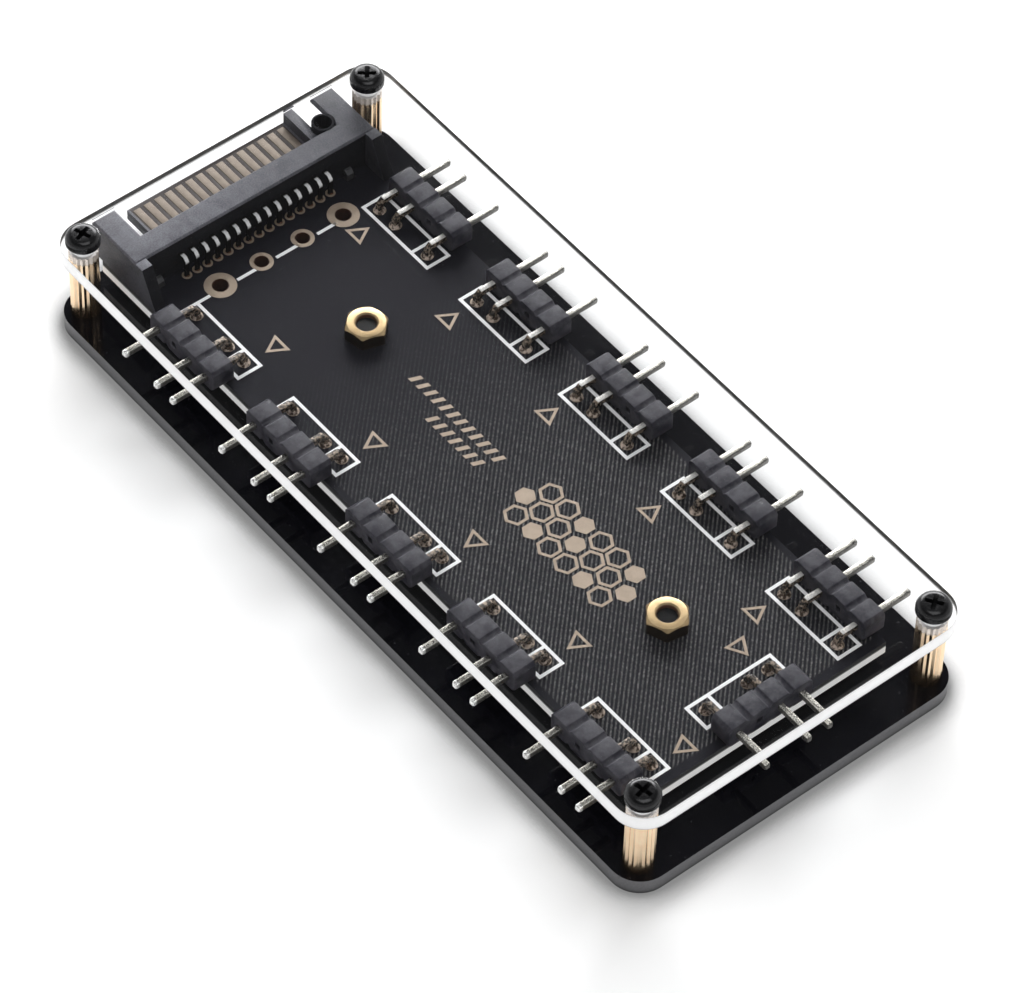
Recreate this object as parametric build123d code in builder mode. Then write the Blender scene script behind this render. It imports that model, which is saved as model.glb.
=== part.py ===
"""Fan lighting hub: a board of pin headers and a power connector between two acrylic plates.

X runs along the hub, from the power connector to the single front header.
Y runs across it, and Z is up from the underside of the base plate.
"""

import math
import os

from build123d import *

# Sheet and board thicknesses, in millimetres as everything here
base_thickness = 1.8
cover_thickness = 1.8
board_thickness = 1.6

# Outline of the plates and the board
plate_corner_radius = 3.2
board_trim = 0.13
rear_margin = 1.0
front_margin = 5.83
plug_shelf = 4.0
front_zone = 1.25

# Corner standoffs
standoff_radius = 1.5
standoff_edge_wall = 1.0
knurl_count = 18
knurl_depth = 0.14
cover_gap = 0.8

# Screws, nuts and spacers, all for a 2 mm thread
thread_radius = 1.0
thread_clearance = 0.03
thread_sides = 12
screw_clearance = 0.15
thread_reach = 3.2
pan_head_radius = 1.75
pan_head_height = 1.3
flat_head_radius = 1.9
sink_clearance = 0.05
cross_span = 1.9
cross_width = 0.42
cross_depth = 0.7
nut_across_flats = 4.0
nut_height = 1.6
nut_bevel = 0.5
nut_crown = 0.2
screw_below_nut = 0.5
spacer_height = 1.2

# Pin headers: four places each, the third one left empty
headers_per_side = 5
header_pitch = 15.4
pin_pitch = 2.54
header_places = 4
filled_places = (0, 1, 3)
header_height = 2.54
header_depth = 2.54
header_notch = 0.38
header_overhang = 1.25
front_header_overhang = 0.43
front_header_offset = 0.5
pin_size = 0.64
pin_point = 0.14
pin_bend = 0.5
pin_out = 4.2
pin_row_setback = 4.65
pin_hole_clearance = 0.15
tail_clearance = 0.3

# Power connector: where it stands on the board
tail_row_setback = 6.63
tail_run = 1.03
header_gap = 1.46

# Power connector: housing
housing_height = 4.4
block_depth = 2.8
ear_length = 4.3
ear_width = 2.7
slot_width = 1.9
wing_width = 1.25
wing_length = 3.1
wing_crest = 1.1
housing_bevel = 0.2
tongue_height = 2.4
tongue_thickness = 1.23
tongue_length = 4.85
tongue_margin = 0.8
key_width = 1.05
key_height = 1.3
ledge_length = 1.3
ledge_drop = 0.5
arm_wall = 0.55
arm_lip = 0.5
boss_radius = 1.15
boss_setback = 1.0
boss_bore_radius = 0.92
boss_bore_depth = 2.6

# Power connector: contacts and board locks
contact_count = 15
contact_pitch = 1.27
contact_thickness = 0.25
contact_proud = 0.05
contact_width = 0.84
contact_tip_gap = 0.45
tail_width = 0.5
tail_bend = 0.3
tail_hole_clearance = 0.12
lock_outset = 2.86
lock_thickness = 0.4
lock_width = 0.8
lock_height = 0.7
lock_root = 0.8
lock_run = 0.45
lock_bend = 0.25
lock_hole_clearance = 0.15

# Bare four-hole row behind the power connector
spare_row_run = 3.08
spare_row_offset = 0.5
spare_pitch = 5.08
spare_outer_radius = 0.87
spare_inner_radius = 0.78

# Screws that hold the board
rear_screw_setback = 16.67
front_screw_setback = 10.05
board_screw_offset = 0.4
nut_turns = (12.0, 21.0)

# Heights that follow from the stack
base_top = base_thickness
board_bottom = base_top + spacer_height
board_top = board_bottom + board_thickness
cover_bottom = board_top + housing_height + cover_gap
cover_top = cover_bottom + cover_thickness
standoff_length = cover_bottom - base_top
tail_end = spacer_height - tail_clearance

# Width that follows from the power connector
contact_reach = (contact_count - 1) * contact_pitch / 2
tongue_low = -contact_reach - tongue_margin
key_low = contact_reach + tongue_margin
tongue_high = key_low + key_width
ear_inner_low = tongue_low - slot_width
ear_inner_high = tongue_high + slot_width
housing_low = ear_inner_low - ear_width
housing_high = ear_inner_high + ear_width
board_low = housing_low
board_high = housing_high - board_trim
board_width = board_high - board_low

# Lengths that follow from the rows of headers
header_length = header_places * pin_pitch
connector_zone = tail_row_setback - tail_run + wing_length + header_gap
board_length = connector_zone + (headers_per_side - 1) * header_pitch + header_length + front_zone
plate_length = rear_margin + board_length + front_margin
board_rear = rear_margin - plate_length / 2
board_front = board_rear + board_length
header_face = board_width / 2 + header_overhang
plate_width = 2 * (header_face + plug_shelf)
first_header = board_rear + connector_zone + header_length / 2
front_face = board_front + front_header_overhang

# Places of the power connector
tail_row = board_rear + tail_row_setback
block_rear = tail_row - tail_run
block_front = block_rear - block_depth
ear_tip = block_front - ear_length
tongue_tip = block_front - tongue_length
lock_row = block_rear + lock_run
lock_reach = contact_reach + lock_outset
tongue_top = board_top + tongue_height
ledge_top = tongue_top - ledge_drop
contact_top = tongue_top + contact_proud
contact_middle = contact_top - contact_thickness / 2

# Places of the fasteners
corner_inset = standoff_radius + standoff_edge_wall
corner_x = plate_length / 2 - corner_inset
corner_y = plate_width / 2 - corner_inset
corners = [(-corner_x, -corner_y), (-corner_x, corner_y), (corner_x, -corner_y), (corner_x, corner_y)]
corner_names = ["rear_left", "rear_right", "front_left", "front_right"]
front_pin_row = front_face - pin_row_setback
board_screws_at = [
    (tail_row + rear_screw_setback, board_screw_offset),
    (front_pin_row - front_screw_setback, board_screw_offset),
]
screw_hole_radius = thread_radius + screw_clearance
thread_bore_radius = thread_radius + thread_clearance

os.makedirs("parts", exist_ok=True)


def write(piece, name):
    """Label a finished piece and write it as one STEP file."""
    piece.part.label = name
    export_step(piece.part, f"parts/{name}.step")


def span(low_x, high_x, low_y, high_y):
    """Centre, length and width of a rectangle given by its sides."""
    return ((low_x + high_x) / 2, (low_y + high_y) / 2), high_x - low_x, high_y - low_y


# Base plate, with countersunk holes opening on its underside
underside = Plane(origin=(0, 0, 0), x_dir=(1, 0, 0), z_dir=(0, 0, -1))
sunk_holes = [(x, -y) for x, y in corners + board_screws_at]
with BuildPart() as base_plate:
    with BuildSketch(Plane.XY):
        RectangleRounded(plate_length, plate_width, plate_corner_radius)
    extrude(amount=base_thickness)
    with Locations(underside):
        with Locations(*sunk_holes):
            CounterSinkHole(
                radius=screw_hole_radius,
                counter_sink_radius=flat_head_radius + sink_clearance,
                depth=base_thickness,
                counter_sink_angle=90,
            )
write(base_plate, "base_plate")

# Clear cover plate
with BuildPart() as cover_plate:
    with BuildSketch(Plane.XY.offset(cover_bottom)):
        RectangleRounded(plate_length, plate_width, plate_corner_radius)
        with Locations(*corners):
            Circle(screw_hole_radius, mode=Mode.SUBTRACT)
    extrude(amount=cover_thickness)
write(cover_plate, "cover_plate")

# Knurled standoffs, one at each corner
knurl_outline = []
for tooth in range(2 * knurl_count):
    radius = standoff_radius - knurl_depth * (tooth % 2)
    angle = math.pi * tooth / knurl_count
    knurl_outline.append((radius * math.cos(angle), radius * math.sin(angle)))
for (x, y), corner in zip(corners, corner_names):
    with BuildPart() as standoff:
        with BuildSketch(Plane((x, y, base_top))):
            Polygon(*knurl_outline, align=None)
            RegularPolygon(thread_bore_radius, thread_sides, mode=Mode.SUBTRACT)
        extrude(amount=standoff_length)
    write(standoff, f"standoff_{corner}")

# Cross recess of every screw, as the solid that is cut away below z = 0
with BuildPart() as cross:
    with BuildSketch(Plane.XY):
        Rectangle(cross_span, cross_width)
        Rectangle(cross_width, cross_span)
    extrude(amount=-cross_depth)

# One pan head screw, seated at z = 0 with its thread, a prism of few sides, pointing down
with BuildPart() as pan_screw:
    with BuildSketch(Plane.XZ):
        with BuildLine():
            Polyline(
                (0, 0),
                (pan_head_radius, 0),
                (pan_head_radius, pan_head_height),
                (0, pan_head_height),
                close=True,
            )
        make_face()
    revolve(axis=Axis.Z)
    with BuildSketch(Plane.XY):
        RegularPolygon(thread_radius, thread_sides)
    extrude(amount=-cover_thickness - thread_reach)
    with Locations((0, 0, pan_head_height)):
        add(cross.part, mode=Mode.SUBTRACT)

with BuildPart() as cover_screws:
    with Locations(*[(x, y, cover_top) for x, y in corners]):
        add(pan_screw.part)
write(cover_screws, "cover_screws")


def flat_screw(length):
    """A countersunk screw with its head's face at z = 0 and its thread pointing up."""
    cone_top = flat_head_radius - thread_radius
    with BuildPart() as screw:
        with BuildSketch(Plane.XZ):
            with BuildLine():
                Polyline(
                    (0, 0),
                    (flat_head_radius, 0),
                    (thread_radius, cone_top),
                    (0, cone_top),
                    close=True,
                )
            make_face()
        revolve(axis=Axis.Z)
        with BuildSketch(Plane.XY):
            RegularPolygon(thread_radius, thread_sides)
        extrude(amount=length)
        with Locations((0, 0, cross_depth)):
            add(cross.part, mode=Mode.SUBTRACT)
    return screw


base_screw = flat_screw(base_thickness + thread_reach)
with BuildPart() as base_screws:
    with Locations(*corners):
        add(base_screw.part)
write(base_screws, "base_screws")

board_screw = flat_screw(board_top + nut_height - screw_below_nut)
with BuildPart() as board_screws:
    with Locations(*board_screws_at):
        add(board_screw.part)
write(board_screws, "board_screws")

# Thin hexagon spacers that hold the board clear of the base plate
corner_radius = nut_across_flats / 3 ** 0.5
with BuildPart() as board_spacers:
    with BuildSketch(Plane.XY.offset(base_top)):
        with Locations(*board_screws_at):
            RegularPolygon(corner_radius, 6)
            RegularPolygon(screw_hole_radius, thread_sides, mode=Mode.SUBTRACT)
    extrude(amount=spacer_height)
write(board_spacers, "board_spacers")

# Hexagon nuts on top of the board, bevelled at the top
with BuildPart() as nut:
    with BuildSketch(Plane.XY):
        RegularPolygon(corner_radius, 6, rotation=30)
        RegularPolygon(thread_bore_radius, thread_sides, mode=Mode.SUBTRACT)
    extrude(amount=nut_height)
    with BuildSketch(Plane.XZ):
        with BuildLine():
            Polyline(
                (0, 0),
                (corner_radius, 0),
                (corner_radius, nut_height - nut_bevel),
                (nut_across_flats / 2 - nut_crown, nut_height),
                (0, nut_height),
                close=True,
            )
        make_face()
    revolve(axis=Axis.Z, mode=Mode.INTERSECT)

with BuildPart() as board_nuts:
    for (x, y), turn in zip(board_screws_at, nut_turns):
        with Locations(Location((x, y, board_top), (0, 0, turn))):
            add(nut.part)
write(board_nuts, "board_nuts")

# Where each header stands: its face's middle on the board and the way it points
right_headers = [(first_header + n * header_pitch, header_face, 0) for n in range(headers_per_side)]
left_headers = [(first_header + n * header_pitch, -header_face, 180) for n in range(headers_per_side)]
header_places_at = {}
for n in range(headers_per_side):
    header_places_at[f"left_{n + 1}"] = left_headers[n]
    header_places_at[f"right_{n + 1}"] = right_headers[n]
header_places_at["front"] = (front_face, front_header_offset, -90)
header_spots = {name: Location((x, y, board_top), (0, 0, turn)) for name, (x, y, turn) in header_places_at.items()}
pin_offsets = [(place - (header_places - 1) / 2) * pin_pitch for place in filled_places]

# Printed board, pierced for every pin, tail, lock and screw
spare_row = tail_row + spare_row_run
pin_hole = pin_size + 2 * pin_hole_clearance
tail_hole_length = contact_thickness + 2 * tail_hole_clearance
tail_hole_width = tail_width + 2 * tail_hole_clearance
lock_hole_length = lock_thickness + 2 * lock_hole_clearance
lock_hole_width = lock_width + 2 * lock_hole_clearance
with BuildPart() as circuit_board:
    centre, length, width = span(board_rear, board_front, board_low, board_high)
    with BuildSketch(Plane.XY.offset(board_bottom)):
        with Locations(centre):
            Rectangle(length, width)
        with Locations(*board_screws_at):
            Circle(screw_hole_radius, mode=Mode.SUBTRACT)
        for spot in header_spots.values():
            with Locations(Location((spot.position.X, spot.position.Y), spot.orientation.Z)):
                with Locations(*[(offset, -pin_row_setback) for offset in pin_offsets]):
                    Rectangle(pin_hole, pin_hole, mode=Mode.SUBTRACT)
        with Locations((tail_row, 0)):
            with GridLocations(0, contact_pitch, 1, contact_count):
                Rectangle(tail_hole_length, tail_hole_width, mode=Mode.SUBTRACT)
        with Locations((lock_row, 0)):
            with GridLocations(0, 2 * lock_reach, 1, 2):
                Rectangle(lock_hole_length, lock_hole_width, mode=Mode.SUBTRACT)
        with Locations((spare_row, spare_row_offset)):
            with GridLocations(0, 3 * spare_pitch, 1, 2):
                Circle(spare_outer_radius, mode=Mode.SUBTRACT)
            with GridLocations(0, spare_pitch, 1, 2):
                Circle(spare_inner_radius, mode=Mode.SUBTRACT)
    extrude(amount=board_thickness)
write(circuit_board, "circuit_board")

# Header housing: four notched cells side by side, its outer face on y = 0
half_cell = pin_pitch / 2
pin_height = header_height / 2
cell = [
    (-half_cell, header_notch),
    (header_notch - half_cell, 0),
    (half_cell - header_notch, 0),
    (half_cell, header_notch),
    (half_cell, header_height - header_notch),
    (half_cell - header_notch, header_height),
    (header_notch - half_cell, header_height),
    (-half_cell, header_height - header_notch),
]
with BuildPart() as header_housing:
    with BuildSketch(Plane.XZ):
        with GridLocations(pin_pitch, 0, header_places, 1):
            Polygon(*cell, align=None)
        with Locations((0, pin_height)):
            with GridLocations(pin_pitch, 0, header_places, 1):
                Rectangle(pin_size, pin_size, mode=Mode.SUBTRACT)
    extrude(amount=header_depth)

# Header pin: square wire, straight out through the housing and down through the board
with BuildPart() as header_pin:
    with BuildLine(Plane.YZ):
        Polyline(
            (pin_out, pin_height),
            (pin_bend - pin_row_setback, pin_height),
            (-pin_row_setback, pin_height - pin_bend),
            (-pin_row_setback, -board_thickness - tail_end),
        )
    with BuildSketch(Plane(origin=(0, pin_out, pin_height), x_dir=(1, 0, 0), z_dir=(0, -1, 0))):
        Rectangle(pin_size, pin_size)
    sweep(transition=Transition.RIGHT)
    chamfer(header_pin.faces().sort_by(Axis.Y)[-1].edges(), pin_point)

for name, spot in header_spots.items():
    with BuildPart() as housing:
        with Locations(spot):
            add(header_housing.part)
    write(housing, f"header_housing_{name}")

    with BuildPart() as pins:
        with Locations(spot):
            with Locations(*[(offset, 0, 0) for offset in pin_offsets]):
                add(header_pin.part)
    write(pins, f"header_pins_{name}")

# Power connector housing: block, two guide arms open inward and below, the tongue with its key, a bored
# boss at the root of the keyed slot, and two rear wings
contact_rear = Plane.YZ.offset(block_rear)
with BuildPart() as power_housing:
    with BuildSketch(Plane.XY.offset(board_top)):
        centre, length, width = span(ear_tip, block_rear, housing_low, housing_high)
        with Locations(centre):
            Rectangle(length, width)
        centre, length, width = span(ear_tip, block_front, ear_inner_low, ear_inner_high)
        with Locations(centre):
            Rectangle(length, width, mode=Mode.SUBTRACT)
    extrude(amount=housing_height)
    chamfer(power_housing.faces().sort_by(Axis.Z)[-1].edges(), housing_bevel)

    with BuildSketch(Plane.XZ.offset(-housing_low - wing_width)):
        with BuildLine():
            Polyline(
                (block_rear, board_top),
                (block_rear + wing_length, board_top),
                (block_rear + wing_crest, board_top + housing_height),
                (block_rear, board_top + housing_height),
                close=True,
            )
        make_face()
    wing_profile = power_housing.pending_faces[:]
    extrude(amount=wing_width)
    extrude(to_extrude=wing_profile[0].moved(Location((0, housing_high - housing_low - wing_width, 0))), amount=wing_width)

    with BuildSketch(Plane.XY.offset(tongue_top - tongue_thickness)):
        centre, length, width = span(tongue_tip, block_front, tongue_low, tongue_high)
        with Locations(centre):
            Rectangle(length, width)
    extrude(amount=tongue_thickness)

    with BuildSketch(Plane.XY.offset(tongue_top)):
        centre, length, width = span(tongue_tip, block_front, key_low, tongue_high)
        with Locations(centre):
            Rectangle(length, width)
    extrude(amount=key_height)

    with BuildSketch(Plane.XY.offset(board_top)):
        centre, length, width = span(block_front - ledge_length, block_front, ear_inner_low, tongue_low)
        with Locations(centre):
            Rectangle(length, width)
    extrude(amount=ledge_top - board_top)

    with BuildSketch(Plane.XY.offset(board_top)):
        for side_low, side_high in ((housing_low + arm_wall, ear_inner_low), (ear_inner_high, housing_high - arm_wall)):
            centre, length, width = span(ear_tip, block_front, side_low, side_high)
            with Locations(centre):
                Rectangle(length, width)
    extrude(amount=housing_height - arm_lip, mode=Mode.SUBTRACT)

    boss_spot = (block_front - boss_setback, (tongue_high + ear_inner_high) / 2)
    with BuildSketch(Plane.XY.offset(board_top)):
        with Locations(boss_spot):
            Circle(boss_radius)
    extrude(amount=housing_height)
    with BuildSketch(Plane.XY.offset(board_top + housing_height)):
        with Locations(boss_spot):
            Circle(boss_bore_radius)
    extrude(amount=-boss_bore_depth, mode=Mode.SUBTRACT)

    groove_rear = block_front
    groove_front = tongue_tip + contact_tip_gap
    with BuildSketch(Plane.XY.offset(tongue_top)):
        with Locations(((groove_front + groove_rear) / 2, 0)):
            with GridLocations(0, contact_pitch, 1, contact_count):
                Rectangle(groove_rear - groove_front, contact_width)
    extrude(amount=contact_proud - contact_thickness, mode=Mode.SUBTRACT)

    with BuildSketch(contact_rear):
        with Locations((0, contact_middle)):
            with GridLocations(contact_pitch, 0, contact_count, 1):
                Rectangle(tail_width, contact_thickness)
    extrude(amount=-block_depth, mode=Mode.SUBTRACT)

    with BuildSketch(contact_rear):
        with Locations((0, board_top + lock_height)):
            with GridLocations(2 * lock_reach, 0, 2, 1):
                Rectangle(lock_width, lock_thickness)
    extrude(amount=-lock_root, mode=Mode.SUBTRACT)
write(power_housing, "power_housing")

# Power contact: a wide blade on the tongue that runs back as a narrow tail and down through the board
with BuildPart() as contact:
    centre, length, width = span(groove_front, block_front, -contact_width / 2, contact_width / 2)
    with BuildSketch(Plane.XY.offset(contact_top)):
        with Locations(centre):
            Rectangle(length, width)
    extrude(amount=-contact_thickness)
    with BuildLine(Plane.XZ):
        Polyline(
            (block_front, contact_middle),
            (tail_row - tail_bend, contact_middle),
            (tail_row, contact_middle - tail_bend),
            (tail_row, board_bottom - tail_end),
        )
    with BuildSketch(Plane(origin=(block_front, 0, contact_middle), x_dir=(0, 1, 0), z_dir=(1, 0, 0))):
        Rectangle(tail_width, contact_thickness)
    sweep(transition=Transition.RIGHT)

with BuildPart() as power_contacts:
    with GridLocations(0, contact_pitch, 1, contact_count):
        add(contact.part)
write(power_contacts, "power_contacts")

# Board locks: two bent straps that hold the power connector down
with BuildPart() as lock:
    with BuildLine(Plane.XZ):
        Polyline(
            (block_rear - lock_root, board_top + lock_height),
            (lock_row - lock_bend, board_top + lock_height),
            (lock_row, board_top + lock_height - lock_bend),
            (lock_row, board_bottom - tail_end),
        )
    lock_start = (block_rear - lock_root, 0, board_top + lock_height)
    with BuildSketch(Plane(origin=lock_start, x_dir=(0, 1, 0), z_dir=(1, 0, 0))):
        Rectangle(lock_width, lock_thickness)
    sweep(transition=Transition.RIGHT)

with BuildPart() as board_locks:
    with GridLocations(0, 2 * lock_reach, 1, 2):
        add(lock.part)
write(board_locks, "board_locks")
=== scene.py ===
import math
import random

import bmesh
import bpy
from mathutils import Matrix, Vector


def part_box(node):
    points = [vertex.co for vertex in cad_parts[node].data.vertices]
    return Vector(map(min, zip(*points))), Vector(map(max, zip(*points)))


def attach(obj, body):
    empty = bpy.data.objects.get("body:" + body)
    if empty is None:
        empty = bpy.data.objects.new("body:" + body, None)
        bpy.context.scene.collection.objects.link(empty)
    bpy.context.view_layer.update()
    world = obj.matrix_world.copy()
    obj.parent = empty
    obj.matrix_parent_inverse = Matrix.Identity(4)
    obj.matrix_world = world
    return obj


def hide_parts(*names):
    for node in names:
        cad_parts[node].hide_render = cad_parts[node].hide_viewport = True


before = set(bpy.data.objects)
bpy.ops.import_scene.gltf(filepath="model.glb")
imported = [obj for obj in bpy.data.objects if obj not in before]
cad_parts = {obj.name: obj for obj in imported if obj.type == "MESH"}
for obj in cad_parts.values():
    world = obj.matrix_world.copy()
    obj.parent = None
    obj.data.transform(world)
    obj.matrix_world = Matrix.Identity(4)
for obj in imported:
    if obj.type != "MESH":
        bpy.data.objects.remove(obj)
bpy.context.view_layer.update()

# Sizes are in millimetres here, and pieces are scaled to metres when they are made
MM = 0.001

# Camera, fitted to the photograph
CAMERA_PLACE = (0.26884, -0.22803, 0.42871)
CAMERA_RIGHT = (0.62848663, 0.77747557, 0.02315815)
CAMERA_DOWN = (0.60978786, -0.47401312, -0.63519314)
CAMERA_FORWARD = (-0.48286988, 0.41333196, -0.77200607)
FOCAL_PIXELS = 5761.96
IMAGE_WIDTH = 1024
SENSOR = 36.0

# Standard sizes of headers and their pins
PITCH = 2.54
PIN = 0.64
SIDES = ("left", "right")
SIDE_HEADERS = [f"{side}_{n}" for side in SIDES for n in range(1, 6)]
HEADERS = SIDE_HEADERS + ["front"]
CORNERS = ("rear_left", "rear_right", "front_left", "front_right")

# The power connector's contacts and their tails
TAIL_PITCH = 1.27
TAIL_COUNT = 15
CONTACT_THICK = 0.25
CONTACT_HALF = 0.42

# How far edges are rounded
HOUSING_EASE = 0.09
PIN_EASE = 0.21
SOCKET_EASE = 0.08
CONTACT_EASE = 0.05

# Printing and bare metal on the board
SKIN = 0.03
SILK_WIDTH = 0.35
SILK_INNER = 5.7
SILK_OUTER = 3.01
SILK_END = 1.27
SILK_FRONT_EXTRA = 0.2
SILK_RUNS = ((-11.9, -8.9), (-5.2, -3.3), (-0.4, 2.0), (4.7, 6.7))
TRIANGLE_SIDE = 2.5
TRIANGLE_LINE = 0.29
TRIANGLE_SETBACK = 9.2
TRIANGLE_LEFT_SHIFT = 0.25
TRIANGLE_RIGHT_RISE = 0.2
TRIANGLE_REAR_SHIFT = 1.2
TRIANGLE_FRONT_SHIFT = 0.35
HATCH_PITCH = 0.405
COMB_CELL = 2.5
COMB_MIDDLE = (12.3, -0.35)
STRIPE_PITCH = 1.16
STRIPE_HALF = 0.6
STRIPE_WIDTH = 0.5
STRIPE_LEAN = 0.45

# Rows of stripes: middle, first stripe and number
STRIPE_ROWS = ((0.55, -13.6, 12), (-1.35, -8.6, 7))

# Spare holes: place along the row, radius of the bare ring and of the hole
SPARE_SETBACK = 3.08
SPARE_MIDDLE = 0.5
SPARE_HOLES = ((-7.62, 1.65, 0.87), (-2.54, 1.2, 0.78), (2.54, 1.2, 0.78), (7.62, 1.65, 0.87))
HOLE_PLATING = 0.05

# Rings and solder around the pins and the tails: radius and rise of each joint's surface
PAD_RING = (0.66, 0.4)
PAD_JOINT = ((0.64, 0.0), (0.56, 0.06), (0.48, 0.15), (0.41, 0.27), (0.33, 0.36), (0, 0.38))
TAIL_RING = (0.52, 0.31)
TAIL_JOINT = ((0.34, 0.0), (0.3, 0.02), (0.2, 0.05), (0, 0.06))
JOINT_BASE = 0.6 * SKIN

# Nuts
NUT_ACROSS = 4.0
NUT_CORNER = NUT_ACROSS / math.sqrt(3)
NUT_CROWN = NUT_ACROSS / 2 - 0.1
NUT_BORE = 1.06
NUT_TURNS = (12.0, 21.0)
NUT_POINTS = 144

# Cover screws, and the radius of the holes that they pass through
SCREW_HOLE = 1.15
THREAD_PITCH = 0.4
THREAD_ROOT = 0.86
THREAD_CREST = 0.99
SHANK = 0.95
HEAD_FLAT = 0.62
CROSS_TURNS = (0.35, 0.9, 0.2, 0.62)

# Floor: half its side, in metres, and how far it lies below the base
FLOOR_REACH = 3.0
FLOOR_GAP = 0.02


def box_mm(node):
    """Lowest and highest corner of a CAD node, in millimetres."""
    low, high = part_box(node)
    return low / MM, high / MM


# Places read from the solids
BOARD_LOW, BOARD_HIGH = box_mm("circuit_board")
TOP = BOARD_HIGH.z
BASE_LOW = box_mm("base_plate")[0]
COVER_LOW, COVER_HIGH = box_mm("cover_plate")
STANDOFF_LOW, STANDOFF_HIGH = box_mm("standoff_front_right")
CORNER_X = (STANDOFF_LOW.x + STANDOFF_HIGH.x) / 2
CORNER_Y = (STANDOFF_LOW.y + STANDOFF_HIGH.y) / 2
CONTACT_HIGH = box_mm("power_contacts")[1]
HEADER_BACK_X = box_mm("header_housing_front")[0].x
HEADER_BACK_Y = box_mm("header_housing_right_1")[0].y
PINS_LEFT = box_mm("header_pins_left_1")[0].y
PINS_RIGHT = box_mm("header_pins_right_1")[1].y

# The bored boss of the power connector
SOCKET_LOW, SOCKET_HIGH = box_mm("power_housing")
BORE_X = SOCKET_LOW.x + 3.85
BORE_Y = SOCKET_HIGH.y - 3.65
BORE_SHADE = 0.92 + 0.35

# The nuts sit above spacers of their own size, which aren't turned
NUTS_LOW, NUTS_HIGH = box_mm("board_spacers")
NUTS_X = (NUTS_LOW.x + NUT_CORNER, NUTS_HIGH.x - NUT_CORNER)
NUTS_Y = (NUTS_LOW.y + NUTS_HIGH.y) / 2


# Places of the pads


def pads_of(name):
    """Places of a header's three pads on the board."""
    low, high = box_mm(f"header_pins_{name}")
    half = PIN / 2
    if name == "front":
        return [(low.x + half, low.y + half + PITCH * place) for place in (0, 2, 3)]
    if name.startswith("left"):
        return [(low.x + half + PITCH * place, high.y - half) for place in (0, 2, 3)]
    return [(low.x + half + PITCH * place, low.y + half) for place in (0, 1, 3)]


def tails():
    """Places of the power contacts' tails on the board."""
    low, high = box_mm("power_contacts")
    x = high.x - CONTACT_THICK / 2
    first = low.y + CONTACT_HALF
    return [(x, first + TAIL_PITCH * n) for n in range(TAIL_COUNT)]


# Mesh helpers


def piece(name, verts, faces, material, slot, smooth=False):
    """One mesh object that rides on the body, from points in millimetres."""
    mesh = bpy.data.meshes.new(name)
    mesh.from_pydata([(x * MM, y * MM, z * MM) for x, y, z in verts], [], faces)
    mesh.materials.append(material)
    cleaned = bmesh.new()
    cleaned.from_mesh(mesh)
    bmesh.ops.recalc_face_normals(cleaned, faces=cleaned.faces)
    cleaned.to_mesh(mesh)
    cleaned.free()
    if smooth:
        mesh.shade_smooth()
    obj = bpy.data.objects.new(name, mesh)
    bpy.context.scene.collection.objects.link(obj)
    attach(obj, "root")
    return obj


def soften(obj, degrees):
    """Keep edges sharper than an angle crisp on a smooth mesh."""
    obj.data.set_sharp_from_angle(angle=math.radians(degrees))


def merged(parts):
    """Several (points, faces) pairs as one."""
    verts = []
    faces = []
    for part_verts, part_faces in parts:
        start = len(verts)
        verts.extend(part_verts)
        faces.extend(tuple(start + i for i in face) for face in part_faces)
    return verts, faces


def prism(outline, low, high):
    """A closed prism over a convex outline."""
    count = len(outline)
    verts = [(x, y, low) for x, y in outline] + [(x, y, high) for x, y in outline]
    faces = [tuple(range(count))[::-1], tuple(range(count, 2 * count))]
    for i in range(count):
        j = (i + 1) % count
        faces.append((i, j, count + j, count + i))
    return verts, faces


def hollow(outer, inner, low, high):
    """A closed prism between an outline and a hole with as many points."""
    count = len(outer)
    rings = [(outer, low), (outer, high), (inner, high), (inner, low)]
    verts = [(x, y, z) for ring, z in rings for x, y in ring]
    faces = []
    for ring in range(4):
        a = ring * count
        b = ((ring + 1) % 4) * count
        for i in range(count):
            j = (i + 1) % count
            faces.append((a + i, a + j, b + j, b + i))
    return verts, faces


def circle(x, y, radius, count=48):
    """Points around a circle."""
    steps = [2 * math.pi * i / count for i in range(count)]
    return [(x + radius * math.cos(a), y + radius * math.sin(a)) for a in steps]


def ring(x, y, outer, inner, low, high, count=48):
    """A flat ring."""
    return hollow(circle(x, y, outer, count), circle(x, y, inner, count), low, high)


def lathe(x, y, profile, count=32, wobble=None):
    """A surface of revolution from (radius, height) pairs, closed at a radius of zero."""
    verts = []
    rings = []
    for radius, height in profile:
        if radius == 0:
            rings.append([len(verts)])
            verts.append((x, y, height))
            continue
        rings.append(list(range(len(verts), len(verts) + count)))
        for i in range(count):
            angle = 2 * math.pi * i / count
            reach = radius * (wobble(angle, radius) if wobble else 1)
            verts.append((x + reach * math.cos(angle), y + reach * math.sin(angle), height))
    faces = []
    for a, b in zip(rings, rings[1:]):
        for i in range(count):
            j = (i + 1) % count
            if len(a) == 1:
                faces.append((a[0], b[i], b[j]))
            elif len(b) == 1:
                faces.append((a[i], a[j], b[0]))
            else:
                faces.append((a[i], a[j], b[j], b[i]))
    return verts, faces


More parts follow.
